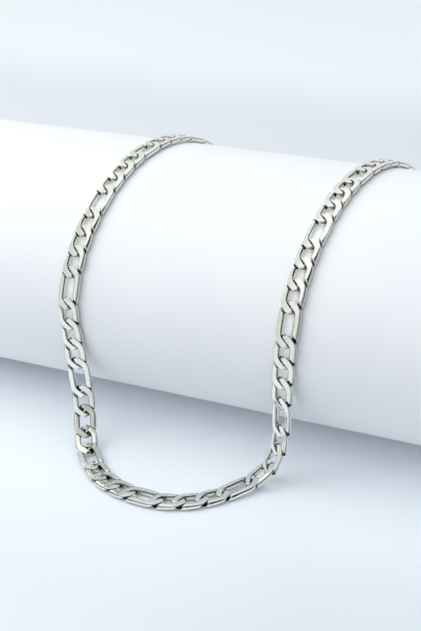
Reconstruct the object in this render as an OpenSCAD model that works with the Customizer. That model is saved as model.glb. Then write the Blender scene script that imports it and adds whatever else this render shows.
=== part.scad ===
// Figaro chain necklace laid over an oval display roll.
// Three short links and one long link repeat all the way round.
// Millimetres. +X runs along the roll, +Y goes to the back, +Z is up.
// The origin is on the table, under the middle of the roll.

/* [Display roll] */
// Height of the roll
roll_h = 53; // [48:0.5:64]
// Depth of the roll, front to back
roll_d = 72; // [62:0.5:84]
// Length of the roll
roll_l = 190; // [140:1:260]

/* [Chain] */
// Finished width of the chain
chain_w = 5; // [4.9:0.02:5.2]
// Finished thickness of the chain, flat face to flat face
chain_t = 1.36; // [1.3:0.02:1.5]
// Width of the link's wire
wire_w = 1.45; // [1.35:0.01:1.5]
// Thickness of the link's wire
wire_t = 1.1; // [1:0.01:1.15]
// Step of the chain along a short link
short_step = 4.7; // [4.6:0.02:5]
// Step of the chain along a long link
long_step = 6.86; // [6.4:0.02:7.4]
// Twist of a link's ends out of its middle plane, in degrees
end_twist = 52; // [50:1:54]
// Play where one link bears on the next
link_play = 0.28; // [0.24:0.01:0.32]
// Gap between the chain and the roll
roll_gap = 0.12; // [0.1:0.01:0.3]
// Gap between the lowest links and the table
table_gap = 0.1; // [0.06:0.01:0.3]

/* [Clasp] */
// Step along the closed clasp
clasp_step = 10; // [9:0.1:12]
// Play where a jump ring bears on the clasp
clasp_play = 0.54; // [0.5:0.01:0.6]
// Thickness of the clasp's plate
clasp_t = 1; // [0.9:0.05:1.05]
// Width of metal round the clasp's openings
clasp_rim = 0.8; // [0.7:0.05:0.85]
// Width of the bar between the clasp's openings
clasp_bar = 0.8; // [0.6:0.05:1]
// Width of the clasp's hook opening
hook_w = 4.2; // [4.1:0.05:4.6]
// Width of the clasp's eye
eye_w = 4; // [3.9:0.05:4.2]
// Step along a jump ring
ring_step = 3.6; // [3.5:0.02:3.8]
// Thickness of a jump ring's wire
ring_wire = 0.72; // [0.6:0.02:0.76]
// Tilt of the jump rings
ring_tilt = 50; // [46:1:54]

/* [Hidden] */

steel = [0.78, 0.79, 0.78];
paper = [0.95, 0.96, 0.97];

// The route's chosen points below the roll's middle. Each row holds x, the reach in front
// of the roll (minus) or behind it (plus), and the rise above lying flat on the table.
// The front goes from left to right, and half of the back from the clasp outwards.
route = [
    [-25.3, -0.1, 20.5],
    [-24.8, -0.3, 14.0],
    [-24.3, -0.9, 8.4],
    [-23.6, -2.4, 4.2],
    [-21.9, -5.3, 1.3],
    [-18.6, -9.2, 0.3],
    [-10.8, -15.3, 0.0],
    [0.3, -18.0, 0.0],
    [9.2, -16.1, 0.0],
    [14.8, -11.3, 0.0],
    [18.3, -6.2, 0.3],
    [21.0, -2.8, 1.7],
    [23.0, -1.0, 5.0],
    [24.3, -0.3, 9.6],
    [24.9, -0.2, 15.6],
    [25.3, -0.1, 21.5],
    [15.0, 30.0, 0.5],
    [19.5, 24.4, 0.0],
    [22.2, 16.6, 0.0],
    [23.6, 9.4, 0.3],
    [24.3, 4.6, 1.8],
    [24.8, 1.7, 5.0],
    [25.1, 0.6, 9.4],
    [25.4, 0.2, 14.5],
    [25.7, 0.1, 20.5]
];
// Place of the front's middle in that list.
front_mid = 7;
// Place, reach and rise of the clasp, which lies across the back.
clasp_x = 2.1;
clasp_reach = 32.8;
clasp_rise = 1.45;

// How far the hanging links turn in towards the chain's middle.
front_turn = 0.8;
back_turn = 0.2;
// Heights between which the links turn from facing up to facing away from the roll.
turn_from = 1;
turn_to = 8;

// Where the two strands cross the roll's crest.
strand_x = 26.3;

half_d = roll_d / 2;
half_h = roll_h / 2;
// A long link bridges the roll's curve between its contacts, most at the front and back.
function bridge(radius) = pow(long_step / 2, 2) / (2 * radius);
seat = chain_t / 2 + roll_gap + bridge(pow(half_h, 2) / half_d);
seat_top = chain_t / 2 + roll_gap + bridge(pow(half_d, 2) / half_h);
lie = chain_t / 2 + table_gap;

function on_roll(x, turn) = [
    x,
    -(half_d + seat) * cos(turn),
    half_h + (half_h + seat_top) * sin(turn)
];
function off_roll(p) = [p.x, sign(p.y) * (half_d + seat) + p.y, lie + p.z];
function mirrored(p) = [-p.x, p.y, p.z];
function backwards(list) = [for (i = [len(list) - 1 : -1 : 0]) list[i]];

clasp_mid = off_roll([clasp_x, clasp_reach, clasp_rise]);
chain_end = [clasp_step / 2 + ring_step, 0, 0];

roll_turns = [12 : 13 : 168];
over_left = [for (turn = backwards([for (t = roll_turns) t])) on_roll(-strand_x, turn)];
over_right = [for (turn = roll_turns) on_roll(strand_x, turn)];
front = [for (p = route) if (p.y < 0) off_roll(p)];
back_right = [for (p = route) if (p.y > 0) off_roll(p)];
back_left = [for (p = back_right) mirrored(p)];

// The whole way round, from the clasp's left to its right.
stops = concat(
    [clasp_mid - chain_end],
    back_left,
    over_left,
    front,
    over_right,
    backwards(back_right),
    [clasp_mid + chain_end]
);
mid_stop = 1 + len(back_left) + len(over_left) + front_mid;

// A smooth curve through the stops.
fine = 8;
last_stop = len(stops) - 1;
function stop_at(i) =
    i < 0 ? stops[0] - [-clasp_step, 0, 0]
    : i > last_stop ? stops[last_stop] - [clasp_step, 0, 0]
    : stops[i];
function between(a, b, c, d, t) = 0.5 * (
    2 * b + (c - a) * t
    + (2 * a - 5 * b + 4 * c - d) * t * t
    + (3 * b - a - 3 * c + d) * t * t * t
);
path = [
    for (i = [0 : last_stop - 1])
        for (j = [0 : fine - 1])
            between(stop_at(i - 1), stop_at(i), stop_at(i + 1), stop_at(i + 2), j / fine),
    stops[last_stop]
];
run = [
    for (i = 0, s = 0; i < len(path); i = i + 1, s = s + (i < len(path) ? norm(path[i] - path[i - 1]) : 0)) s
];
table_x = [for (i = [0 : len(path) - 1]) [run[i], path[i].x]];
table_y = [for (i = [0 : len(path) - 1]) [run[i], path[i].y]];
table_z = [for (i = [0 : len(path) - 1]) [run[i], path[i].z]];
function at(s) = [lookup(s, table_x), lookup(s, table_y), lookup(s, table_z)];

// The long link at the front's middle is link 0. Links are counted both ways from it.
start = run[mid_stop * fine] - long_step / 2;
room_right = run[len(path) - 1] - start - long_step;
room_left = start;
function is_long(k) = abs(k) % 4 == 0;
function reach_of(n) = (n - floor(n / 4)) * short_step + floor(n / 4) * long_step;
function best(room, n) = reach_of(n + 1) - short_step / 2 > room ? n : best(room, n + 1);
count_right = best(room_right, 1);
count_left = best(room_left, 1);
ease_right = room_right / reach_of(count_right);
ease_left = room_left / reach_of(count_left);
// Contact k lies before link k.
function contact(k) = at(
    k <= 0 ? start - ease_left * reach_of(-k)
    : start + long_step + ease_right * reach_of(k - 1)
);

// The chain's upper face looks away from the roll, and straight up on the table.
function ease_in(t) = let (c = max(0, min(1, t))) c * c * (3 - 2 * c);
function upright(p) =
    p.z >= half_h ? [0, p.y / pow(half_d, 2), (p.z - half_h) / pow(half_h, 2)]
    : let (
        k = ease_in((p.z - turn_from) / (turn_to - turn_from)),
        turned = (p.y < 0 ? front_turn : back_turn) * (1 - p.z / half_h)
    ) [-sign(p.x) * turned * k, sign(p.y) * k, 1 - k];
function unit(v) = v / norm(v);

// One link lies along X. Its blank is wider than the finished chain, which the twist narrows.
blank_share = 1.12;
blank_w = chain_w * blank_share;
half_w = (blank_w - wire_w) / 2;
bend_sides = 6;
bend_step = 180 / bend_sides;
miter = 1 / cos(bend_step / 2);
rim = [
    [wire_w / 2, 0],
    [wire_w / 4, wire_t / 2],
    [-wire_w / 4, wire_t / 2],
    [-wire_w / 2, 0],
    [-wire_w / 4, -wire_t / 2],
    [wire_w / 4, -wire_t / 2]
];
function half_long(step) = (step + wire_w + link_play) / 2;
function ring_at(step, side, turn) = let (
    straight = half_long(step) - half_w,
    mid = side * straight + miter * half_w * cos(turn),
    lean = -end_twist * max(-1, min(1, mid / half_long(step)))
) [
    for (r = rim)
        let (across = miter * (half_w + r.x) * sin(turn))
        [
            side * straight + miter * (half_w + r.x) * cos(turn),
            across * cos(lean) - r.y * sin(lean),
            max(-chain_t / 2, min(chain_t / 2, across * sin(lean) + r.y * cos(lean)))
        ]
];
function link_rings(step) = [
    for (side = [1, -1])
        for (i = [0 : bend_sides - 1])
            ring_at(step, side, (side > 0 ? -90 : 90) + bend_step * (i + 0.5))
];

module link(step) {
    rings = link_rings(step);
    n = len(rings);
    q = len(rim);
    polyhedron(
        points = [for (r = rings) for (p = r) p],
        faces = [
            for (i = [0 : n - 1])
                for (j = [0 : q - 1])
                    let (a = i * q, b = ((i + 1) % n) * q, c = (j + 1) % q)
                    each [[a + j, b + c, b + j], [a + j, a + c, b + c]]
        ]
    );
}

module placed_link(k) {
    p = contact(k);
    r = contact(k + 1);
    c = (p + r) / 2;
    u = unit(r - p);
    up = upright(c);
    w = unit(up - (up * u) * u);
    v = cross(w, u);
    multmatrix([
        [u.x, v.x, w.x, c.x],
        [u.y, v.y, w.y, c.y],
        [u.z, v.z, w.z, c.z],
        [0, 0, 0, 1]
    ])
    link(is_long(k) ? long_step : short_step);
}

function is_front(k) = (contact(k) + contact(k + 1)).y < 0;

// The roll is an oval bar, cut square at both ends.
module display_roll() {
    color(paper)
    translate([0, 0, half_h])
    intersection() {
        scale([1, roll_d / roll_h, 1])
        rotate([0, 90, 0])
        cylinder(h = 2 * roll_l, d = roll_h, center = true, $fn = 120);
        cube([roll_l, 2 * roll_d, 2 * roll_h], center = true);
    }
}

module chain_front() {
    color(steel)
    for (k = [-count_left : count_right])
        if (is_front(k)) placed_link(k);
}

module chain_back() {
    color(steel)
    for (k = [-count_left : count_right])
        if (!is_front(k)) placed_link(k);
}

module jump_ring(side) {
    translate(clasp_mid + [side * (clasp_step + ring_step) / 2, 0, 0])
    rotate([-side * ring_tilt, 0, 0])
    rotate_extrude()
    translate([(ring_step + link_play + ring_wire) / 2, 0])
    circle(d = ring_wire);
}

module clasp_ring() {
    color(steel)
    jump_ring(-1);
}

module end_ring() {
    color(steel)
    jump_ring(1);
}

// The closed clasp: an eye on the left, a hook opening on the right.
module clasp() {
    inner = (clasp_step + clasp_play) / 2;
    color(steel)
    translate(clasp_mid)
    difference() {
        hull() {
            translate([eye_w / 2 - inner, 0, 0])
            cylinder(h = clasp_t, d = eye_w + 2 * clasp_rim, center = true);
            translate([inner - hook_w / 2, 0, 0])
            cylinder(h = clasp_t, d = hook_w + 2 * clasp_rim, center = true);
        }
        translate([eye_w / 2 - inner, 0, 0])
        cylinder(h = 2 * clasp_t, d = eye_w, center = true);
        hull() {
            translate([inner - hook_w / 2, 0, 0])
            cylinder(h = 2 * clasp_t, d = hook_w, center = true);
            translate([eye_w - inner + clasp_bar + hook_w / 2, 0, 0])
            cylinder(h = 2 * clasp_t, d = hook_w, center = true);
        }
    }
}

display_roll();
chain_front();
chain_back();
clasp_ring();
clasp();
end_ring();
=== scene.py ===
"""A figaro chain necklace laid over an oval display roll, dressed for a bright studio picture.

The frame gives the solids. Flat-ground links replace the chain's plain ones, the clasp and its jump
rings get rounded edges, and the roll gets its cover. A floor, the light and the camera follow.
Sizes are in metres unless a name says otherwise.
"""

import logging
import math
from dataclasses import dataclass, field
from enum import Enum

import bmesh
import bpy
from mathutils import Euler, Matrix, Vector


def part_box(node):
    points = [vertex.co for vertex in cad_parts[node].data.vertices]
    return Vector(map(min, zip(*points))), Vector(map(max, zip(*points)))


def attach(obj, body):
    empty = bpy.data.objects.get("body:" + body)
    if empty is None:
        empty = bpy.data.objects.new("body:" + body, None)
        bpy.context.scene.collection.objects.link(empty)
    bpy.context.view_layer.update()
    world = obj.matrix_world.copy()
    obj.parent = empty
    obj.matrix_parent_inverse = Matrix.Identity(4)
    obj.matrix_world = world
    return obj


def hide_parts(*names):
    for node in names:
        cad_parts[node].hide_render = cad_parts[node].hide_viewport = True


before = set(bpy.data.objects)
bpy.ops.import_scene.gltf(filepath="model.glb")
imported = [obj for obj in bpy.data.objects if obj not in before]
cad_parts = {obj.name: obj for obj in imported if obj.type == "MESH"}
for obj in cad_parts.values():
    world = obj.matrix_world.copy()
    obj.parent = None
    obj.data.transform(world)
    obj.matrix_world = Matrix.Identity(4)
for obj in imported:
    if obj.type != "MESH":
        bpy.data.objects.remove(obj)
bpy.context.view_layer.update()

log = logging.getLogger("necklace")

MM = 0.001
SHARP_DEGREES = 38  # an edge past this angle stays sharp
WELD = 1e-7  # corners closer than this are one
BLACK = (0.0, 0.0, 0.0)
Colour = tuple | bpy.types.NodeSocket

# The route's chosen points below the roll's middle. Each row holds x, the reach in front of the roll
# (minus) or behind it (plus), and the rise above lying flat on the table. The front goes from left to
# right, and half of the back from the clasp outwards.
ROUTE = [
    (-0.0253, -0.0001, 0.0205),
    (-0.0248, -0.0003, 0.0140),
    (-0.0243, -0.0009, 0.0084),
    (-0.0236, -0.0024, 0.0042),
    (-0.0219, -0.0053, 0.0013),
    (-0.0186, -0.0092, 0.0003),
    (-0.0108, -0.0153, 0.0),
    (0.0003, -0.0180, 0.0),
    (0.0092, -0.0161, 0.0),
    (0.0148, -0.0113, 0.0),
    (0.0183, -0.0062, 0.0003),
    (0.0210, -0.0028, 0.0017),
    (0.0230, -0.0010, 0.0050),
    (0.0243, -0.0003, 0.0096),
    (0.0249, -0.0002, 0.0156),
    (0.0253, -0.0001, 0.0215),
    (0.0150, 0.0300, 0.0005),
    (0.0195, 0.0244, 0.0),
    (0.0222, 0.0166, 0.0),
    (0.0236, 0.0094, 0.0003),
    (0.0243, 0.0046, 0.0018),
    (0.0248, 0.0017, 0.0050),
    (0.0251, 0.0006, 0.0094),
    (0.0254, 0.0002, 0.0145),
    (0.0257, 0.0001, 0.0205),
]
# The front's point at which the middle long link lies, counted from 0.
FRONT_MID = 7


class Step(Enum):
    """The two kinds of link, by the step that each takes along the chain."""

    SHORT = 0.0047
    LONG = 0.00686


class Tree:
    """A node tree. One method adds any node, and the others add what comes often."""

    def __init__(self, nodes: bpy.types.NodeTree) -> None:
        """Keeps the tree and empties it.

        Args:
            nodes: The material's, world's or geometry's node tree.
        """
        self.nodes = nodes
        nodes.nodes.clear()

    def node(self, kind: str, settings: dict | None = None, sockets: dict | None = None) -> bpy.types.Node:
        """Adds a node.

        Args:
            kind: The node's type name.
            settings: Properties to set first, such as a Math node's operation.
            sockets: Input sockets by name or number, with a value, a socket or a Number for each.

        Returns:
            The new node.
        """
        made = self.nodes.nodes.new(kind)
        for name, value in (settings or {}).items():
            setattr(made, name, value)
        for key, value in (sockets or {}).items():
            target = made.inputs[key]
            source = value.socket if isinstance(value, Number) else value
            if isinstance(source, bpy.types.NodeSocket):
                self.nodes.links.new(source, target)
            else:
                target.default_value = source
        return made

    def number(self, socket: bpy.types.NodeSocket) -> "Number":
        """Wraps a socket for arithmetic."""
        return Number(self, socket)

    def split(self, vector: bpy.types.NodeSocket) -> list["Number"]:
        """The three numbers of a vector."""
        return [self.number(part) for part in self.node("ShaderNodeSeparateXYZ", None, {0: vector}).outputs]

    def noise(self, place: bpy.types.NodeSocket, scale: float, detail: float) -> "Number":
        """Adds a noise pattern.

        Args:
            place: The place that it is read at.
            scale: How many features it has to the metre.
            detail: How many finer layers it has.

        Returns:
            The pattern.
        """
        sockets = {"Vector": place, "Scale": scale, "Detail": detail}
        return self.number(self.node("ShaderNodeTexNoise", None, sockets).outputs[0])

    def attribute(self, name: str) -> "Number":
        """A number that is stored on the mesh."""
        return self.number(self.node("ShaderNodeAttribute", {"attribute_name": name}).outputs["Fac"])

    def bump(self, height: "Number", strength: float, depth: float) -> bpy.types.NodeSocket:
        """Adds a fine relief.

        Args:
            height: The relief's height, from 0 to 1.
            strength: How much of it shows.
            depth: Its depth in metres.

        Returns:
            The surface's normal.
        """
        return self.node(
            "ShaderNodeBump", None, {"Strength": strength, "Distance": depth, "Height": height}
        ).outputs[0]

    def blend(self, share: "Number", first: Colour, second: Colour) -> bpy.types.NodeSocket:
        """Mixes two colours.

        Args:
            share: How much of the second colour there is.
            first: The first colour: red, green and blue, or a socket.
            second: The second colour.

        Returns:
            The mixed colour's socket.
        """
        mix = self.node("ShaderNodeMix", {"data_type": "RGBA"}, {0: share})
        for index, colour in ((6, first), (7, second)):
            if isinstance(colour, bpy.types.NodeSocket):
                self.nodes.links.new(colour, mix.inputs[index])
            else:
                mix.inputs[index].default_value = (*colour, 1)
        return mix.outputs[2]


class Number:
    """A number in a shader. Its arithmetic adds Math nodes."""

    def __init__(self, tree: Tree, socket: bpy.types.NodeSocket) -> None:
        """Keeps the socket and the tree that it is in."""
        self.tree = tree
        self.socket = socket

    def _math(self, operation: str, left: "Number | float", right: "Number | float") -> "Number":
        """Adds one Math node.

        Args:
            operation: The node's operation.
            left: The first number.
            right: The second number.

        Returns:
            The result.
        """
        made = self.tree.node("ShaderNodeMath", {"operation": operation}, {0: left, 1: right})
        return Number(self.tree, made.outputs[0])

    def __add__(self, other: "Number | float") -> "Number":
        """Adds."""
        return self._math("ADD", self, other)

    def __radd__(self, other: float) -> "Number":
        """Adds, from the right."""
        return self._math("ADD", other, self)

    def __sub__(self, other: "Number | float") -> "Number":
        """Subtracts."""
        return self._math("SUBTRACT", self, other)

    def __rsub__(self, other: float) -> "Number":
        """Subtracts, from the right."""
        return self._math("SUBTRACT", other, self)

    def __mul__(self, other: "Number | float") -> "Number":
        """Multiplies."""
        return self._math("MULTIPLY", self, other)

    def __rmul__(self, other: float) -> "Number":
        """Multiplies, from the right."""
        return self._math("MULTIPLY", other, self)

    def rise(self, low: float, high: float) -> "Number":
        """Rises smoothly from 0 to 1.

        Args:
            low: Where it is 0.
            high: Where it is 1.

        Returns:
            The eased share.
        """
        made = self.tree.node(
            "ShaderNodeMapRange",
            {"interpolation_type": "SMOOTHSTEP"},
            {0: self, 1: low, 2: high},
        )
        return Number(self.tree, made.outputs[0])


class Finish:
    """A material with one shader, which each kind of finish feeds in its own way."""

    def make(self, name: str) -> bpy.types.Material:
        """Makes the material.

        Args:
            name: The material's name.

        Returns:
            The material.
        """
        material = bpy.data.materials.new(name)
        material.use_nodes = True
        tree = Tree(material.node_tree)
        place = tree.node("ShaderNodeTexCoord").outputs["Object"]
        shader = tree.node("ShaderNodeBsdfPrincipled", None, self.sockets(tree, place))
        tree.node("ShaderNodeOutputMaterial", None, {"Surface": shader.outputs[0]})
        return material

    def sockets(self, tree: Tree, place: bpy.types.NodeSocket) -> dict:
        """What feeds the shader.

        Args:
            tree: The material's node tree.
            place: The place on the piece.

        Returns:
            The shader's inputs by name.
        """
        raise NotImplementedError


@dataclass(frozen=True)
class Silver(Finish):
    """Polished, flat-ground silver-coloured metal with soft wear, painted shade in its crossings and painted
    dark reflection lines along its edges.
    """

    bright: tuple = (0.94, 0.945, 0.888)
    dull: tuple = (0.81, 0.82, 0.766)
    # painted shade and painted dark reflections: the colour that the links' edges and crossings darken
    # towards
    crevice: tuple = (0.055, 0.06, 0.055)
    smooth: float = 0.06  # the roughness of the bright metal, and of the dull
    worn: float = 0.17
    painted_shade_rough: float = 0.15
    ripple_scale: float = 900.0
    ripple_detail: float = 3.0
    ripple_share: float = 0.6  # the rest of the tone is the link's own
    dull_range: tuple = (0.35, 0.75)
    worn_range: tuple = (0.4, 0.8)
    scratch_scale: float = 5200.0
    scratch_detail: float = 2.0
    scratch_share: float = 0.2
    relief_strength: float = 0.12
    relief_depth: float = 0.02 * MM

    def sockets(self, tree: Tree, place: bpy.types.NodeSocket) -> dict:
        """Feeds the metal's shader, from the wear and from the painted shade that the links store.

        Args:
            tree: The material's node tree.
            place: The place on the piece.

        Returns:
            The shader's inputs by name.
        """
        ripple = tree.noise(place, self.ripple_scale, self.ripple_detail)
        scratch = tree.noise(place, self.scratch_scale, self.scratch_detail)
        own_tone = tree.attribute("link_tone") * (1 - self.ripple_share)
        # The links store painted shade: dark reflection lines along their edges and dark dips where they
        # cross.
        crevice = tree.attribute("crevice")
        dullness = ripple.rise(*self.dull_range) * self.ripple_share + own_tone
        wear = ripple.rise(*self.worn_range) * self.ripple_share + own_tone
        relief = ripple * (1 - self.scratch_share) + scratch * self.scratch_share
        polish = tree.blend(dullness, self.bright, self.dull)
        return {
            "Base Color": tree.blend(crevice, polish, self.crevice),
            "Metallic": 1.0,
            "Roughness": self.smooth + (self.worn - self.smooth) * wear + self.painted_shade_rough * crevice,
            "Normal": tree.bump(relief, self.relief_strength, self.relief_depth),
        }


@dataclass(frozen=True)
class RollCover(Finish):
    """Smooth satin white cover with a faint grain and a little unevenness.

    A faint glow under both strands is the light that the links throw down between them.
    """

    light: tuple = (0.90, 0.91, 0.925)
    shaded: tuple = (0.87, 0.885, 0.905)
    glow: tuple = (0.27, 0.275, 0.285)
    strand_x: float = 0.0258
    glow_shift: float = 0.0007
    glow_reach: tuple = (0.0021, 0.0011)  # from a strand, where it begins and where it is full
    glow_heights: tuple = (0.014, 0.024)
    grain_scale: float = 2600.0
    grain_detail: float = 4.0
    wave_scale: float = 38.0
    wave_detail: float = 2.0
    wave_range: tuple = (0.35, 0.7)
    wave_share: float = 0.7
    rough: float = 0.5
    grain_rough: float = 0.14
    relief_strength: float = 0.25
    relief_depth: float = 0.03 * MM

    def sockets(self, tree: Tree, place: bpy.types.NodeSocket) -> dict:
        """Feeds the cover's shader.

        Args:
            tree: The material's node tree.
            place: The place on the piece.

        Returns:
            The shader's inputs by name.
        """
        wave = tree.noise(place, self.wave_scale, self.wave_detail)
        grain = tree.noise(place, self.grain_scale, self.grain_detail)
        x, _, z = tree.split(place)
        outer, inner = self.glow_reach
        across = x + self.glow_shift
        square = across * across
        begun = square.rise((self.strand_x - outer) ** 2, (self.strand_x - inner) ** 2)
        ended = square.rise((self.strand_x + inner) ** 2, (self.strand_x + outer) ** 2)
        under = begun * (1.0 - ended) * z.rise(*self.glow_heights)
        shade = wave.rise(*self.wave_range) * self.wave_share + grain * (1 - self.wave_share)
        return {
            "Base Color": tree.blend(shade, self.light, self.shaded),
            "Roughness": self.rough + self.grain_rough * grain,
            "Normal": tree.bump(grain, self.relief_strength, self.relief_depth),
            "Emission Color": tree.blend(under, BLACK, self.glow),
            "Emission Strength": 1.0,
        }


@dataclass(frozen=True)
class TableTop(Finish):
    """Pale, slightly blue table top with a soft sheen.

    Painted shade darkens its front, mostly on the right, and a band behind the roll. Painted light glows by
    the roll.
    """

    light: tuple = (0.83, 0.865, 0.89)
    # the tone that the painted shade and the faint clouds darken towards
    soft: tuple = (0.70, 0.73, 0.77)
    # painted light: a faint glow by the roll, which lifts the shade under and in front of it
    glow: tuple = (0.065, 0.07, 0.085)
    glow_reach: tuple = (0.045, 0.090)
    # painted shade in front, stronger on the right, and a painted shadow of the roll in a band behind
    front_shade_reach: tuple = (0.035, 0.07)
    front_shade_left_share: float = 0.45
    front_shade_right_reach: tuple = (0.0, 0.06)
    roll_shadow_start: tuple = (0.05, 0.1)
    roll_shadow_end: tuple = (0.15, 0.21)
    cloud_scale: float = 9.0
    cloud_detail: float = 2.0
    cloud_range: tuple = (0.3, 0.7)
    cloud_share: float = 0.08
    rough: float = 0.42
    cloud_rough: float = 0.1

    def sockets(self, tree: Tree, place: bpy.types.NodeSocket) -> dict:
        """Feeds the table's shader.

        Args:
            tree: The material's node tree.
            place: The place on the piece.

        Returns:
            The shader's inputs by name.
        """
        cloud = tree.noise(place, self.cloud_scale, self.cloud_detail)
        across, depth, _ = tree.split(place)
        # Painted light, fading away from the roll.
        away = (depth * depth).rise(*(reach**2 for reach in self.glow_reach))
        from_left = self.front_shade_left_share + (1 - self.front_shade_left_share) * across.rise(*self.front_shade_right_reach)
        # Painted shade in front, more on the right, and a painted shadow of the roll in a band behind, with
        # faint clouds.
        front = (0.0 - depth).rise(*self.front_shade_reach) * from_left
        behind = depth.rise(*self.roll_shadow_start) * (1.0 - depth.rise(*self.roll_shadow_end))
        painted_shade_and_cloud = front + behind + cloud.rise(*self.cloud_range) * self.cloud_share
        return {
            "Base Color": tree.blend(painted_shade_and_cloud, self.light, self.soft),
            "Roughness": self.rough + self.cloud_rough * cloud,
            "Emission Color": tree.blend(away, self.glow, BLACK),
            "Emission Strength": 1.0,
        }


def eased(low: float, high: float, value: float) -> float:
    """Rises smoothly from 0 at one value to 1 at another.

    Args:
        low: Where it is 0.
        high: Where it is 1.
        value: The value.

    Returns:
        The eased share.
    """
    share = min(max((value - low) / (high - low), 0.0), 1.0)
    return share * share * (3 - 2 * share)


def skin(shape: bmesh.types.BMesh, rings: list, is_closed: bool) -> None:
    """Joins each ring of corners to the next with faces, and turns all faces outwards.

    Args:
        shape: The shape that holds the corners.
        rings: The rings in order, all with the same number of corners.
        is_closed: Whether the last ring joins the first. If not, both ends are capped.
    """
    following = rings[1:] + rings[:1] if is_closed else rings[1:]
    for ring, after in zip(rings, following):
        for j in range(len(ring)):
            k = (j + 1) % len(ring)
            shape.faces.new((ring[j], after[j], after[k], ring[k]))
    if not is_closed:
        for end in (rings[0], rings[-1]):
            shape.faces.new(end)
    bmesh.ops.recalc_face_normals(shape, faces=shape.faces)


@dataclass(frozen=True)
class LinkPlace:
    """Where one link lies: its middle, its turn and its kind."""

    middle: Vector
    turn: Matrix
    step: Step


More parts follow.
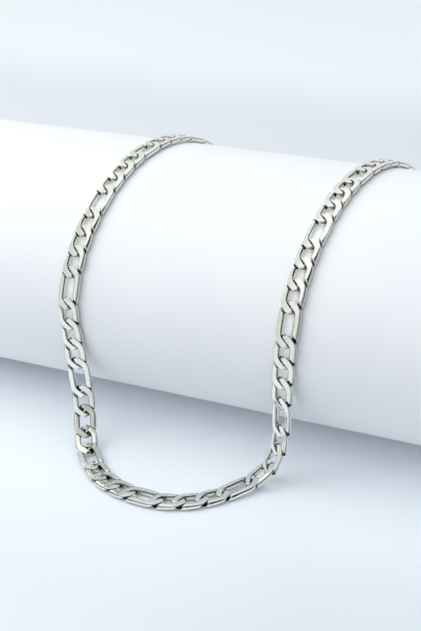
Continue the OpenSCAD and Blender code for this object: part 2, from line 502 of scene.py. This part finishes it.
@dataclass
class ChainRoute:
    """The chain's way round the roll, over the table and back, and the links' places along it."""

    roll_height: float
    roll_depth: float
    chain_thickness: float = 0.00136
    roll_gap: float = 0.00012
    table_gap: float = 0.0001
    strand_x: float = 0.0263  # each strand's distance from the middle, over the roll
    clasp_x: float = 0.0021
    clasp_reach: float = 0.0328
    clasp_rise: float = 0.00145
    clasp_step: float = 0.010
    ring_step: float = 0.0036
    front_turn: float = 0.8  # how far a hanging link turns to the middle, in front and behind
    back_turn: float = 0.2
    turn_from: float = 0.001  # the heights between which a lying link comes upright
    turn_to: float = 0.008
    over_degrees: range = range(12, 169, 13)  # the route's stops over the roll
    fine: int = 8  # how many points each stretch between two stops gets
    path: list[Vector] = field(default_factory=list)
    run: list[float] = field(default_factory=list)

    def __post_init__(self) -> None:
        """Works out the smooth path and the distance along it."""
        self.half_depth = self.roll_depth / 2
        self.half_height = self.roll_height / 2
        self.seat = self._seat(self.half_height**2 / self.half_depth)
        self.seat_top = self._seat(self.half_depth**2 / self.half_height)
        self.path = self._smooth(self._stops())
        self.run = [0.0]
        for before, after in zip(self.path, self.path[1:]):
            self.run.append(self.run[-1] + (after - before).length)

    def _seat(self, radius: float) -> float:
        """How far the chain's middle stands off the roll.

        Args:
            radius: The roll's radius there, which a long link bridges.

        Returns:
            The distance.
        """
        bridge = (Step.LONG.value / 2) ** 2 / (2 * radius)
        return self.chain_thickness / 2 + self.roll_gap + bridge

    def _off_roll(self, point: tuple) -> Vector:
        """Places a chosen point in front of the roll or behind it."""
        x, reach, rise = point
        out = math.copysign(self.half_depth + self.seat, reach) + reach
        return Vector((x, out, self.chain_thickness / 2 + self.table_gap + rise))

    def _on_roll(self, x: float, degrees: float) -> Vector:
        """A point over the roll, by its turn from the front."""
        turn = math.radians(degrees)
        return Vector((
            x,
            -(self.half_depth + self.seat) * math.cos(turn),
            self.half_height + (self.half_height + self.seat_top) * math.sin(turn),
        ))

    def _stops(self) -> list[Vector]:
        """The stops of the whole way round, from the clasp's left to its right."""
        clasp = self._off_roll((self.clasp_x, self.clasp_reach, self.clasp_rise))
        end = Vector((self.clasp_step / 2 + self.ring_step, 0, 0))
        front = [self._off_roll(p) for p in ROUTE if p[1] < 0]
        back_right = [self._off_roll(p) for p in ROUTE if p[1] > 0]
        back_left = [Vector((-p.x, p.y, p.z)) for p in back_right]
        over_left = [self._on_roll(-self.strand_x, turn) for turn in reversed(self.over_degrees)]
        over_right = [self._on_roll(self.strand_x, turn) for turn in self.over_degrees]
        self.mid_stop = 1 + len(back_left) + len(over_left) + FRONT_MID
        return [clasp - end, *back_left, *over_left, *front, *over_right, *reversed(back_right), clasp + end]

    def _smooth(self, stops: list[Vector]) -> list[Vector]:
        """Draws a smooth curve through the stops.

        Args:
            stops: The points to pass through.

        Returns:
            The curve's own, closer points.
        """
        lead = Vector((self.clasp_step, 0, 0))
        padded = [stops[0] + lead, *stops, stops[-1] - lead]
        path = []
        for a, b, c, d in zip(padded, padded[1:], padded[2:], padded[3:]):
            for j in range(self.fine):
                t = j / self.fine
                bend = (2 * a - 5 * b + 4 * c - d) * t**2 + (3 * b - a - 3 * c + d) * t**3
                path.append(0.5 * (2 * b + (c - a) * t + bend))
        path.append(stops[-1])
        return path

    def at(self, distance: float) -> Vector:
        """The point at a distance along the path."""
        for i, reached in enumerate(self.run[1:], 1):
            if reached >= distance or i == len(self.run) - 1:
                share = (distance - self.run[i - 1]) / (reached - self.run[i - 1])
                return self.path[i - 1].lerp(self.path[i], min(max(share, 0.0), 1.0))
        return self.path[-1]

    @staticmethod
    def reach_of(count: int) -> float:
        """The length of a number of links, of which each fourth is long."""
        return (count - count // 4) * Step.SHORT.value + (count // 4) * Step.LONG.value

    def best(self, room: float) -> int:
        """The number of links that best fills a length."""
        count = 1
        while self.reach_of(count + 1) - Step.SHORT.value / 2 <= room:
            count += 1
        return count

    def upright(self, point: Vector) -> Vector:
        """The way the chain's upper face looks: away from the roll, and straight up on the table."""
        if point.z >= self.half_height:
            rise = point.z - self.half_height
            return Vector((0, point.y / self.half_depth**2, rise / self.half_height**2))
        upturn = eased(self.turn_from, self.turn_to, point.z)
        turned = (self.front_turn if point.y < 0 else self.back_turn) * (1 - point.z / self.half_height)
        lean = math.copysign(turned * upturn, point.x)
        return Vector((-lean, math.copysign(upturn, point.y), 1 - upturn))

    def places(self) -> list[LinkPlace]:
        """Lays the links both ways from link 0, the long link at the front's middle.

        Returns:
            Each link's place, from the clasp's left to its right.
        """
        long_step = Step.LONG.value
        start = self.run[self.mid_stop * self.fine] - long_step / 2
        room_right, room_left = self.run[-1] - start - long_step, start
        right, left = self.best(room_right), self.best(room_left)
        ease_right, ease_left = room_right / self.reach_of(right), room_left / self.reach_of(left)

        def contact(k: int) -> Vector:
            """The contact before link k."""
            if k <= 0:
                return self.at(start - ease_left * self.reach_of(-k))
            return self.at(start + long_step + ease_right * self.reach_of(k - 1))

        found = []
        for k in range(-left, right + 1):
            before, after = contact(k), contact(k + 1)
            middle = (before + after) / 2
            along = (after - before).normalized()
            up = self.upright(middle)
            up = (up - up.dot(along) * along).normalized()
            side = up.cross(along)
            turn = Matrix((along, side, up)).transposed()
            found.append(LinkPlace(middle, turn, Step.LONG if k % 4 == 0 else Step.SHORT))
        return found


@dataclass
class FigaroLink:
    """One pressed figaro link, lying along X round the origin.

    Its wire runs round an oval that narrows towards both tips. At each tip one side lies over the
    neighbour and the other dives under it. Both faces turn down along the outline of the wire that lies
    over them. A station is the distance along the wire's middle line from the right-hand tip, first along
    the side with y below 0, which lies on top there. Its sizes are in millimetres while it is shaped.
    """

    step_mm: float
    width_mm: float = 4.97
    wire_mm: float = 1.34
    thickness_mm: float = 1.35
    play_mm: float = 0.34  # how far two links can slide on each other
    narrow_degrees: float = 56.0  # the twist that narrows each tip, and how it fades
    narrow_power: float = 1.5
    narrow_reach_mm: float = 3.19
    crossing_gap_mm: float = 0.4  # between the two wires where they cross
    clear_mm: float = 0.16  # seen from above, from the wire that lies over a face to the face's slope
    slope_mm: float = 0.24
    fall_mm: float = 0.12  # how much lower a face lies at its outer edge
    middle_edge_mm: float = 0.40
    crossing_edge_mm: float = 0.09
    crossing_reach_mm: tuple = (1.4, 3.6)
    tail_edge_mm: float = 0.60
    tail_reach_mm: tuple = (4.8, 2.5)
    # Painted shade on the inner and the outer edge, each from the face to the wall: painted dark reflection
    # lines along the upper edges, painted shade along the lower ones.
    upper_painted_shades: tuple = ((0.0, 0.35, 1.0, 0.15), (0.0, 0.1, 0.85, 0.0))
    lower_painted_shades: tuple = ((0.8, 0.9, 0.8, 0.0), (0.9, 0.5, 0.0, 0.0))
    # painted shade in the dip where a face dives under a neighbour's wire
    dive_painted_shade: float = 0.95
    stations: int = 80
    face_points: int = 6
    over_steps: range = range(5, 25)  # the part of the neighbour's wire that lies over the link
    over_step_mm: float = 0.18
    probe_mm: float = 0.03  # the reach of a direction's measure
    least_wall_mm: float = 0.02
    over: list[Vector] = field(default_factory=list)

    def __post_init__(self) -> None:
        """Works out the middle line's sizes and the line of the wire that lies over the right-hand end."""
        self.half_long = (self.step_mm + self.wire_mm + self.play_mm) / 2
        self.half_wide = (self.width_mm - self.wire_mm) / 2
        self.half_round = math.pi * self.half_wide + 2 * (self.half_long - self.half_wide)
        tip = self.step_mm / 2 - (self.wire_mm + self.play_mm) / 2
        for i in self.over_steps:
            spot = self._middle(self.over_step_mm * i)
            self.over.append(Vector((tip + self.half_long - spot.x, -spot.y)))

    def _middle(self, station: float) -> Vector:
        """A point on the wire's middle line, seen from above."""
        station %= 2 * self.half_round
        if station > self.half_round:
            return -self._middle(station - self.half_round)
        arc = math.pi * self.half_wide / 2
        straight = self.half_long - self.half_wide
        if station < arc:
            angle = station / self.half_wide
        elif station < arc + 2 * straight:
            angle = math.pi / 2
        else:
            angle = math.pi / 2 + (station - arc - 2 * straight) / self.half_wide
        slide = straight - min(max(station - arc, 0.0), 2 * straight)
        x, y = slide + self.half_wide * math.cos(angle), -self.half_wide * math.sin(angle)
        near_tip = max(1 - (self.half_long - abs(x)) / self.narrow_reach_mm, 0.0)
        lean = math.radians(self.narrow_degrees) * near_tip**self.narrow_power
        return Vector((x, y * math.cos(lean)))

    def _risen(self, spot: Vector) -> float:
        """How far the upper face has risen to its full height at a spot.

        Args:
            spot: The place, seen from above.

        Returns:
            The share, 0 where a neighbour's wire lies over it.
        """
        if spot.x < 0:
            spot = -spot
        nearest = math.inf
        for start, end in zip(self.over, self.over[1:]):
            way = end - start
            share = min(max((spot - start).dot(way) / way.length_squared, 0.0), 1.0)
            nearest = min(nearest, (spot - start - share * way).length)
        return eased(self.clear_mm, self.clear_mm + self.slope_mm, nearest - self.wire_mm / 2)

    def _face(self, spot: Vector, out: float, is_upper: bool) -> tuple[float, float]:
        """The height of one face at a spot.

        The lower face mirrors the upper, and both fall a little outwards.

        Args:
            spot: The place, seen from above.
            out: How far the spot lies out from the wire's middle line.
            is_upper: Whether it is the upper face.

        Returns:
            The height, and the share that the face has risen there.
        """
        risen = self._risen(spot if is_upper else Vector((spot.x, -spot.y)))
        low = -self.crossing_gap_mm / 2
        high = self.thickness_mm / 2 - self.fall_mm * (out / self.wire_mm + 0.5)
        height = low + (high - low) * risen
        return (height if is_upper else -height), risen

    def _edges(self, station: float) -> tuple[float, float]:
        """The radii of the upper face's inner and outer edges."""
        station %= self.half_round
        from_crossing = eased(*self.crossing_reach_mm, station)
        inner = self.crossing_edge_mm + (self.middle_edge_mm - self.crossing_edge_mm) * from_crossing
        tail = eased(*self.tail_reach_mm, self.half_round - station)
        return inner, inner + (self.tail_edge_mm - inner) * tail

    def _profile(self, edges: tuple, heights: list[float], shades: tuple) -> list[tuple]:
        """One face's profile across the wire, with a rounded edge on each side.

        Args:
            edges: The radii of the inner and the outer edge.
            heights: The wire's height at its inner and its outer wall.
            shades: The painted shade of the inner and the outer edge, each from the face to the wall.

        Returns:
            The distance out, the drop below the face and the edge's painted shade, for each point.
        """
        half = self.wire_mm / 2
        corners = []
        for side, radius, height, tones in zip((-1, 1), edges, heights, shades):
            drop = min(radius, (height - self.least_wall_mm) / 2)
            corner = []
            for i, shade in enumerate(tones):
                turn = math.pi / 2 * i / (len(tones) - 1)
                out = side * (half - radius * (1 - math.sin(turn)))
                corner.append((out, drop * (1 - math.cos(turn)), shade))
            corners.append(corner)
        inner, outer = corners
        start, end, count = inner[0][0], outer[0][0], self.face_points + 1
        face = [(start + (end - start) * i / count, 0.0, 0.0) for i in range(1, count)]
        return inner[::-1] + face + outer

    def _ring(self, station: float) -> list[tuple[Vector, float]]:
        """One section of the wire.

        Args:
            station: The section's place round the link.

        Returns:
            The section's points and the painted shade of each.
        """
        middle = self._middle(station)
        along = self._middle(station + self.probe_mm) - self._middle(station - self.probe_mm)
        outward = Vector((along.y, -along.x)).normalized()
        if outward.dot(middle) < 0:
            outward = -outward
        heights = []
        for out in (-self.wire_mm / 2, self.wire_mm / 2):
            wall = middle + out * outward
            heights.append(self._face(wall, out, True)[0] - self._face(wall, out, False)[0])
        points = []
        for place, is_upper in ((station, True), (self.half_round - station, False)):
            line = []
            shades = self.upper_painted_shades if is_upper else self.lower_painted_shades
            for out, drop, shade in self._profile(self._edges(place), heights, shades):
                spot = middle + out * outward
                height, risen = self._face(spot, out, is_upper)
                height += -drop if is_upper else drop
                # Painted shade: the edge's own, or darker where the upper face dives under a neighbour's
                # wire.
                dark = max(shade, self.dive_painted_shade * (1 - risen)) if is_upper else shade
                line.append((Vector((spot.x, spot.y, height)), dark))
            points += line if is_upper else line[::-1]
        return points

    def build(self, name: str) -> bpy.types.Object:
        """Makes the link, and stores painted shade at its edges and its crossings.

        Args:
            name: The object's name.

        Returns:
            A template object in metres, which no scene holds.
        """
        shape = bmesh.new()
        # The painted shade that darkens the metal's colour.
        crevice = shape.verts.layers.float.new("crevice")
        rings = []
        for i in range(self.stations):
            ring = []
            for point, shade in self._ring((i + 0.5) / self.stations * 2 * self.half_round):
                corner = shape.verts.new(point * MM)
                corner[crevice] = shade
                ring.append(corner)
            rings.append(ring)
        skin(shape, rings, True)
        mesh = bpy.data.meshes.new(name)
        shape.to_mesh(mesh)
        shape.free()
        mesh.shade_smooth()
        return bpy.data.objects.new(name, mesh)


@dataclass
class LinkLaying:
    """Lays short and long links on a run of points with Geometry Nodes."""

    sway_degrees: float = 0.25
    seed: int = 7

    def build_tree(self) -> bpy.types.NodeTree:
        """Makes the node tree, with its links, its metal, its sway and its seed as named inputs."""
        group = bpy.data.node_groups.new("lay_links", "GeometryNodeTree")
        tree = Tree(group)
        face = group.interface
        for name, kind in (
            ("Geometry", "NodeSocketGeometry"),
            ("Short link", "NodeSocketObject"),
            ("Long link", "NodeSocketObject"),
            ("Metal", "NodeSocketMaterial"),
            ("Sway", "NodeSocketFloat"),
            ("Seed", "NodeSocketInt"),
        ):
            face.new_socket(name, in_out="INPUT", socket_type=kind)
        face.new_socket("Geometry", in_out="OUTPUT", socket_type="NodeSocketGeometry")
        given = tree.node("NodeGroupInput").outputs
        is_long = tree.node(
            "GeometryNodeInputNamedAttribute", {"data_type": "BOOLEAN"}, {"Name": "long_link"}
        ).outputs[0]
        is_short = tree.node("FunctionNodeBooleanMath", {"operation": "NOT"}, {0: is_long}).outputs[0]
        turn = tree.node(
            "GeometryNodeInputNamedAttribute", {"data_type": "FLOAT_VECTOR"}, {"Name": "turn"}
        ).outputs[0]
        sway = tree.number(given["Sway"])
        limits = [
            tree.node("ShaderNodeCombineXYZ", None, {0: limit, 1: limit, 2: limit}).outputs[0]
            for limit in (-1.0 * sway, sway)
        ]
        lean = tree.node(
            "FunctionNodeRandomValue",
            {"data_type": "FLOAT_VECTOR"},
            {0: limits[0], 1: limits[1], "Seed": given["Seed"]},
        ).outputs[0]
        rotation = tree.node(
            "FunctionNodeRotateRotation",
            {"rotation_space": "LOCAL"},
            {
                0: tree.node("FunctionNodeEulerToRotation", None, {0: turn}).outputs[0],
                1: tree.node("FunctionNodeEulerToRotation", None, {0: lean}).outputs[0],
            },
        ).outputs[0]
        joined = tree.node("GeometryNodeJoinGeometry")
        for link, chosen in (("Short link", is_short), ("Long link", is_long)):
            source = tree.node("GeometryNodeObjectInfo", None, {"Object": given[link], "As Instance": True})
            laid = tree.node(
                "GeometryNodeInstanceOnPoints",
                None,
                {
                    "Points": given["Geometry"],
                    "Selection": chosen,
                    "Instance": source.outputs["Geometry"],
                    "Rotation": rotation,
                },
            )
            group.links.new(laid.outputs[0], joined.inputs[0])
        tone = tree.node(
            "FunctionNodeRandomValue", {"data_type": "FLOAT"}, {"Seed": given["Seed"]}
        ).outputs[1]
        toned = tree.node(
            "GeometryNodeStoreNamedAttribute",
            {"data_type": "FLOAT", "domain": "INSTANCE"},
            {"Geometry": joined.outputs[0], "Name": "link_tone", "Value": tone},
        )
        real = tree.node("GeometryNodeRealizeInstances", None, {0: toned.outputs[0]})
        dressed = tree.node(
            "GeometryNodeSetMaterial", None, {"Geometry": real.outputs[0], "Material": given["Metal"]}
        )
        tree.node("NodeGroupOutput", None, {0: dressed.outputs[0]})
        return group

    def lay(
        self,
        name: str,
        places: list[LinkPlace],
        links: dict[Step, bpy.types.Object],
        group: bpy.types.NodeTree,
        metal: bpy.types.Material,
    ) -> bpy.types.Object:
        """Lays one run of links.

        Args:
            name: The piece's name.
            places: The links' places.
            links: The template of each kind of link.
            group: The node tree.
            metal: The links' material.

        Returns:
            The piece, a plain mesh.
        """
        points = bpy.data.meshes.new(name + "_points")
        points.from_pydata([tuple(p.middle) for p in places], [], [])
        long_link = points.attributes.new("long_link", "BOOLEAN", "POINT")
        long_link.data.foreach_set("value", [place.step is Step.LONG for place in places])
        turn = points.attributes.new("turn", "FLOAT_VECTOR", "POINT")
        for slot, place in zip(turn.data, places):
            slot.vector = place.turn.to_euler("XYZ")
        holder = bpy.data.objects.new(name, points)
        bpy.context.scene.collection.objects.link(holder)
        modifier = holder.modifiers.new("lay_links", "NODES")
        modifier.node_group = group
        values = {
            "Short link": links[Step.SHORT],
            "Long link": links[Step.LONG],
            "Metal": metal,
            "Sway": math.radians(self.sway_degrees),
            "Seed": self.seed,
        }
        for socket in group.interface.items_tree:
            if socket.in_out == "INPUT" and socket.name in values:
                modifier[socket.identifier] = values[socket.name]
        graph = bpy.context.evaluated_depsgraph_get()
        solid = bpy.data.meshes.new_from_object(holder.evaluated_get(graph), depsgraph=graph)
        holder.modifiers.clear()
        holder.data = solid
        solid.name = name
        bpy.data.meshes.remove(points)
        return holder


@dataclass
class FigaroChain:
    """The chain: links laid along the route in two runs that meet on the roll's crest."""

    route: ChainRoute
    metal: bpy.types.Material
    laying: LinkLaying = field(default_factory=LinkLaying)

    def build(self) -> list[bpy.types.Object]:
        """Builds both runs.

        Returns:
            The front's piece and the back's.
        """
        links = {step: FigaroLink(step.value / MM).build(f"{step.name.lower()}_link") for step in Step}
        group = self.laying.build_tree()
        places = self.route.places()
        pieces = []
        for node, in_front in (("chain_front", True), ("chain_back", False)):
            chosen = [p for p in places if (p.middle.y < 0) == in_front]
            piece = self.laying.lay(node + "_links", chosen, links, group, self.metal)
            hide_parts(node)
            pieces.append(piece)
            log.info("%s: %d links, %d faces", piece.name, len(chosen), len(piece.data.polygons))
        for link in links.values():
            bpy.data.objects.remove(link)
        return pieces


@dataclass
class JumpRing:
    """A round wire ring with a fine closing cut."""

    node: str
    wire: float = 0.00072
    tilt_degrees: float = 50.0  # the clasp's ring leans one way and the end ring the other
    stations: int = 72
    sides: int = 16
    cut_depth: float = 0.00003

    def build(self, metal: bpy.types.Material) -> bpy.types.Object:
        """Makes the ring in the place of its solid.

        Args:
            metal: The ring's material.

        Returns:
            The piece.
        """
        low, high = (Vector(corner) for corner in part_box(self.node))
        middle = (low + high) / 2
        radius = (high.x - low.x) / 2 - self.wire / 2
        tilt = math.radians(self.tilt_degrees) * (1 if self.node == "clasp_ring" else -1)
        place = Matrix.Translation(middle) @ Euler((tilt, 0, 0)).to_matrix().to_4x4()
        shape = bmesh.new()
        rings = []
        for i in range(self.stations):
            turn = 2 * math.pi * i / self.stations
            thin = self.cut_depth if i == 0 else 0.0
            ring = []
            for j in range(self.sides):
                bend = 2 * math.pi * j / self.sides
                out = radius + (self.wire / 2 - thin) * math.cos(bend)
                rise = (self.wire / 2 - thin) * math.sin(bend)
                spot = Vector((out * math.cos(turn), out * math.sin(turn), rise))
                ring.append(shape.verts.new(place @ spot))
            rings.append(ring)
        skin(shape, rings, True)
        return finished(shape, self.node + "_wire", metal, self.node)


@dataclass
class Clasp:
    """The closed clasp: a flat plate with an eye on the left and a hook opening on the right."""

    step: float = 0.010
    play: float = 0.00054
    thickness: float = 0.001
    rim: float = 0.0008
    bar: float = 0.0008
    hook: float = 0.0042
    eye: float = 0.004
    rounding: float = 0.00022
    rounding_steps: int = 3
    arc_steps: int = 24

    def _circle_run(self, left: float, right: float, left_d: float, right_d: float) -> list[tuple]:
        """The outline round two circles.

        Args:
            left: The left circle's middle.
            right: The right circle's middle.
            left_d: The left circle's diameter.
            right_d: The right circle's diameter.

        Returns:
            The outline's points, counter-clockwise.
        """
        swing = math.asin((right_d - left_d) / 2 / (right - left)) if right > left else 0.0
        points = []
        for middle, size, start, turn in (
            (right, right_d / 2, -math.pi / 2 - swing, math.pi + 2 * swing),
            (left, left_d / 2, math.pi / 2 + swing, math.pi - 2 * swing),
        ):
            for i in range(self.arc_steps + 1):
                angle = start + turn * i / self.arc_steps
                points.append((middle + size * math.cos(angle), size * math.sin(angle)))
        return points

    def build(self, metal: bpy.types.Material) -> bpy.types.Object:
        """Makes the clasp in the place of its solid.

        Args:
            metal: The clasp's material.

        Returns:
            The piece.
        """
        low, high = (Vector(corner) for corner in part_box("clasp"))
        middle = (low + high) / 2
        inner = (self.step + self.play) / 2
        eye_x, hook_x = self.eye / 2 - inner, inner - self.hook / 2
        slot_x = self.eye - inner + self.bar + self.hook / 2
        outlines = (
            self._circle_run(eye_x, hook_x, self.eye + 2 * self.rim, self.hook + 2 * self.rim),
            self._circle_run(eye_x, eye_x, self.eye, self.eye),
            self._circle_run(slot_x, hook_x, self.hook, self.hook),
        )
        flat = bpy.data.curves.new("clasp_outline", "CURVE")
        flat.dimensions = "2D"
        flat.fill_mode = "BOTH"
        flat.extrude = self.thickness / 2 - self.rounding
        flat.bevel_depth = self.rounding
        flat.bevel_resolution = self.rounding_steps
        flat.offset = -self.rounding
        for outline in outlines:
            line = flat.splines.new("POLY")
            line.points.add(len(outline) - 1)
            line.use_cyclic_u = True
            for point, (x, y) in zip(line.points, outline):
                point.co = (x, y, 0, 1)
        holder = bpy.data.objects.new("clasp_outline", flat)
        bpy.context.scene.collection.objects.link(holder)
        graph = bpy.context.evaluated_depsgraph_get()
        solid = bpy.data.meshes.new_from_object(holder.evaluated_get(graph), depsgraph=graph)
        bpy.data.objects.remove(holder)
        shape = bmesh.new()
        shape.from_mesh(solid)
        bpy.data.meshes.remove(solid)
        bmesh.ops.remove_doubles(shape, verts=shape.verts, dist=WELD)
        bmesh.ops.recalc_face_normals(shape, faces=shape.faces)
        bmesh.ops.translate(shape, vec=middle, verts=shape.verts)
        return finished(shape, "clasp_plate", metal, "clasp")


@dataclass
class DisplayRoll:
    """The oval roll in its smooth cover, with soft end edges, turned-in ends and a lap along its back."""

    edge: float = 0.0014
    turn_in: float = 0.009
    recess: float = 0.0004
    lap: float = 0.00022
    lap_degrees: float = 305.0  # the lap's turn from the back, over the top
    lap_spread_degrees: float = 9.0
    around: int = 240
    along: int = 24
    edge_steps: int = 6

    def _profile(self, half_length: float) -> list[tuple[float, float]]:
        """The roll's profile from one end's middle to the other's.

        Args:
            half_length: Half the roll's length.

        Returns:
            Pairs of the place along X and the inset from the roll's surface.
        """
        end = []
        for i in range(self.edge_steps + 1):
            turn = math.pi / 2 * i / self.edge_steps
            end.append((half_length - self.edge * (1 - math.sin(turn)), self.edge * (1 - math.cos(turn))))
        end.append((half_length, self.turn_in))
        end.append((half_length - self.recess, self.turn_in + self.recess))
        middle = [(half_length - self.edge) * (2 * i / self.along - 1) for i in range(1, self.along)]
        left = [(-x, inset) for x, inset in reversed(end)]
        return left + [(x, 0.0) for x in middle] + end

    def build(self, cover: bpy.types.Material) -> bpy.types.Object:
        """Makes the roll in the place of its solid.

        Args:
            cover: The roll's material.

        Returns:
            The piece.
        """
        low, high = (Vector(corner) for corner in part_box("display_roll"))
        half_y, half_z = (high.y - low.y) / 2, (high.z - low.z) / 2
        centre = (low + high) / 2
        shape = bmesh.new()
        rings = []
        for x, inset in self._profile((high.x - low.x) / 2):
            ring = []
            for j in range(self.around):
                degrees = 360 * j / self.around
                past = (degrees - self.lap_degrees) % 360
                sunk = inset + self.lap * math.exp(-past / self.lap_spread_degrees)
                turn = math.radians(degrees)
                ring.append(shape.verts.new((
                    centre.x + x,
                    centre.y + (half_y - sunk) * math.cos(turn),
                    centre.z + (half_z - sunk) * math.sin(turn),
                )))
            rings.append(ring)
        skin(shape, rings, False)
        return finished(shape, "display_roll_cover", cover, "display_roll")


def finished(
    shape: bmesh.types.BMesh, name: str, material: bpy.types.Material, node: str
) -> bpy.types.Object:
    """Turns a shape into a piece that stands for a solid.

    Args:
        shape: The shape, in its place.
        name: The piece's name.
        material: The piece's material.
        node: The solid's node.

    Returns:
        The piece.
    """
    mesh = bpy.data.meshes.new(name)
    shape.to_mesh(mesh)
    shape.free()
    mesh.materials.append(material)
    mesh.shade_smooth()
    mesh.set_sharp_from_angle(angle=math.radians(SHARP_DEGREES))
    piece = bpy.data.objects.new(name, mesh)
    bpy.context.scene.collection.objects.link(piece)
    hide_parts(node)
    log.info("%s: %d faces", name, len(mesh.polygons))
    return piece


@dataclass(frozen=True)
class Patch:
    """A round soft patch of the tent, which only polished metal mirrors."""

    colour: tuple
    towards: tuple
    degrees: tuple  # from its middle, where it begins and where it is full

    def share(self, tree: Tree, direction: bpy.types.NodeSocket) -> Number:
        """How much of the patch there is in a direction.

        Args:
            tree: The world's node tree.
            direction: The direction looked in.

        Returns:
            The share, from 0 to 1.
        """
        middle = tuple(Vector(self.towards).normalized())
        facing = tree.node("ShaderNodeVectorMath", {"operation": "DOT_PRODUCT"}, {0: direction, 1: middle})
        outer, inner = (math.cos(math.radians(angle)) for angle in self.degrees)
        return tree.number(facing.outputs["Value"]).rise(outer, inner)


@dataclass
class Studio:
    """The table, the light and the camera."""

    table_size: float = 6.0
    lens_mm: float = 87.2
    clip_start: float = 0.01
    camera_at: tuple = (0.15309, -0.27325, 0.17967)
    camera_looks: tuple = (-0.4604, 0.7592, -0.4601)
    camera_right: tuple = (0.8735, 0.4798, -0.0823)
    dome_left: tuple = (1.06, 1.10, 1.13)
    dome_right: tuple = (0.74, 0.79, 0.835)
    dome_levels: tuple = (0.26, 1.19)  # at the horizon and straight up
    dome_lean: float = 0.2  # how much brighter it is towards the camera
    key_place: tuple = (-0.30, -0.08, 0.36)
    key_size: tuple = (0.5, 0.4)
    key_colour: tuple = (1.0, 0.99, 0.97)
    key_watts: float = 0.94
    mirror_sides: tuple = (0.86, 0.86, 0.86)
    mirror_top: tuple = (1.08, 1.08, 1.08)
    mirror_reach: tuple = (0.35, 0.8)
    left_side: tuple = (0.73, 0.765, 0.74)
    left_reach: tuple = (-0.62, -0.36)
    dark_side: Patch = Patch((0.04, 0.042, 0.045), (0.62, -0.45, 0.64), (44.0, 28.0))
    grey_card: Patch = Patch((0.60, 0.61, 0.60), (0.46, -0.76, 0.46), (26.0, 12.0))
    window: Patch = Patch((1.5, 1.5, 1.48), (-0.88, 0.30, 0.38), (30.0, 18.0))

    def build_table(self) -> None:
        """Lays the table top under the roll."""
        mesh = bpy.data.meshes.new("table_top")
        half = self.table_size / 2
        corners = [(-half, -half, 0), (half, -half, 0), (half, half, 0), (-half, half, 0)]
        mesh.from_pydata(corners, [], [(0, 1, 2, 3)])
        mesh.materials.append(TableTop().make("table_top"))
        table = bpy.data.objects.new("table_top", mesh)
        bpy.context.scene.collection.objects.link(table)

    def build_sky(self) -> None:
        """Makes the bright tent round the table.

        The tent lights the scene mostly from above, and more from the left and from the camera's side.
        Polished metal mirrors plainer sides and a brighter top, with a dimmer left side, a bright
        window in it, and a grey card in a dark patch round the camera.
        """
        world = bpy.data.worlds.new("tent")
        world.use_nodes = True
        bpy.context.scene.world = world
        tree = Tree(world.node_tree)
        direction = tree.node("ShaderNodeTexCoord").outputs["Generated"]
        across, depth, height = tree.split(direction)
        low, high = self.dome_levels
        level = (low + (high - low) * height.rise(0.0, 1.0)) * (1.0 - self.dome_lean * depth)
        sides = tree.blend(across.rise(-1.0, 1.0), self.dome_left, self.dome_right)
        dome = tree.node("ShaderNodeVectorMath", {"operation": "SCALE"}, {0: sides, "Scale": level})
        mirrored = tree.blend(height.rise(*self.mirror_reach), self.mirror_sides, self.mirror_top)
        mirrored = tree.blend(across.rise(*self.left_reach), self.left_side, mirrored)
        for patch in (self.dark_side, self.grey_card, self.window):
            mirrored = tree.blend(patch.share(tree, direction), mirrored, patch.colour)
        is_mirror = tree.number(tree.node("ShaderNodeLightPath").outputs["Is Glossy Ray"])
        colour = tree.blend(is_mirror, dome.outputs[0], mirrored)
        glow = tree.node("ShaderNodeBackground", None, {"Color": colour})
        tree.node("ShaderNodeOutputWorld", None, {"Surface": glow.outputs[0]})

    def build_key(self) -> None:
        """Hangs a broad soft light high up on the left."""
        light = bpy.data.lights.new("key", "AREA")
        light.shape = "RECTANGLE"
        light.size, light.size_y = self.key_size
        light.energy = self.key_watts
        light.color = self.key_colour
        lamp = bpy.data.objects.new("key", light)
        lamp.location = self.key_place
        lamp.visible_glossy = False
        lamp.rotation_euler = (-lamp.location).to_track_quat("-Z", "Y").to_euler()
        bpy.context.scene.collection.objects.link(lamp)

    def build_camera(self) -> None:
        """Sets the camera at the photograph's viewing angle."""
        data = bpy.data.cameras.new("camera")
        data.lens = self.lens_mm
        data.clip_start = self.clip_start
        camera = bpy.data.objects.new("camera", data)
        back = -Vector(self.camera_looks).normalized()
        right = Vector(self.camera_right)
        right = (right - right.dot(back) * back).normalized()
        turn = Matrix((right, back.cross(right), back)).transposed()
        camera.matrix_world = Matrix.Translation(self.camera_at) @ turn.to_4x4()
        bpy.context.scene.collection.objects.link(camera)
        bpy.context.scene.camera = camera

    def build(self) -> None:
        """Builds the whole studio."""
        self.build_camera()
        self.build_table()
        self.build_sky()
        self.build_key()
        bpy.context.scene.view_settings.view_transform = "Standard"


def main() -> None:
    """Builds the necklace, its roll and the studio, in order."""
    logging.basicConfig(level=logging.INFO, format="%(name)s: %(message)s")
    Studio().build()
    metal = Silver().make("polished_silver")
    low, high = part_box("display_roll")
    route = ChainRoute(roll_height=high[2] - low[2], roll_depth=high[1] - low[1])
    pieces = FigaroChain(route, metal).build()
    pieces += [JumpRing("clasp_ring").build(metal), Clasp().build(metal), JumpRing("end_ring").build(metal)]
    pieces.append(DisplayRoll().build(RollCover().make("roll_cover")))
    for piece in pieces:
        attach(piece, "root")
    log.info("pieces: %s", ", ".join(piece.name for piece in pieces))


if __name__ == "__main__":
    main()
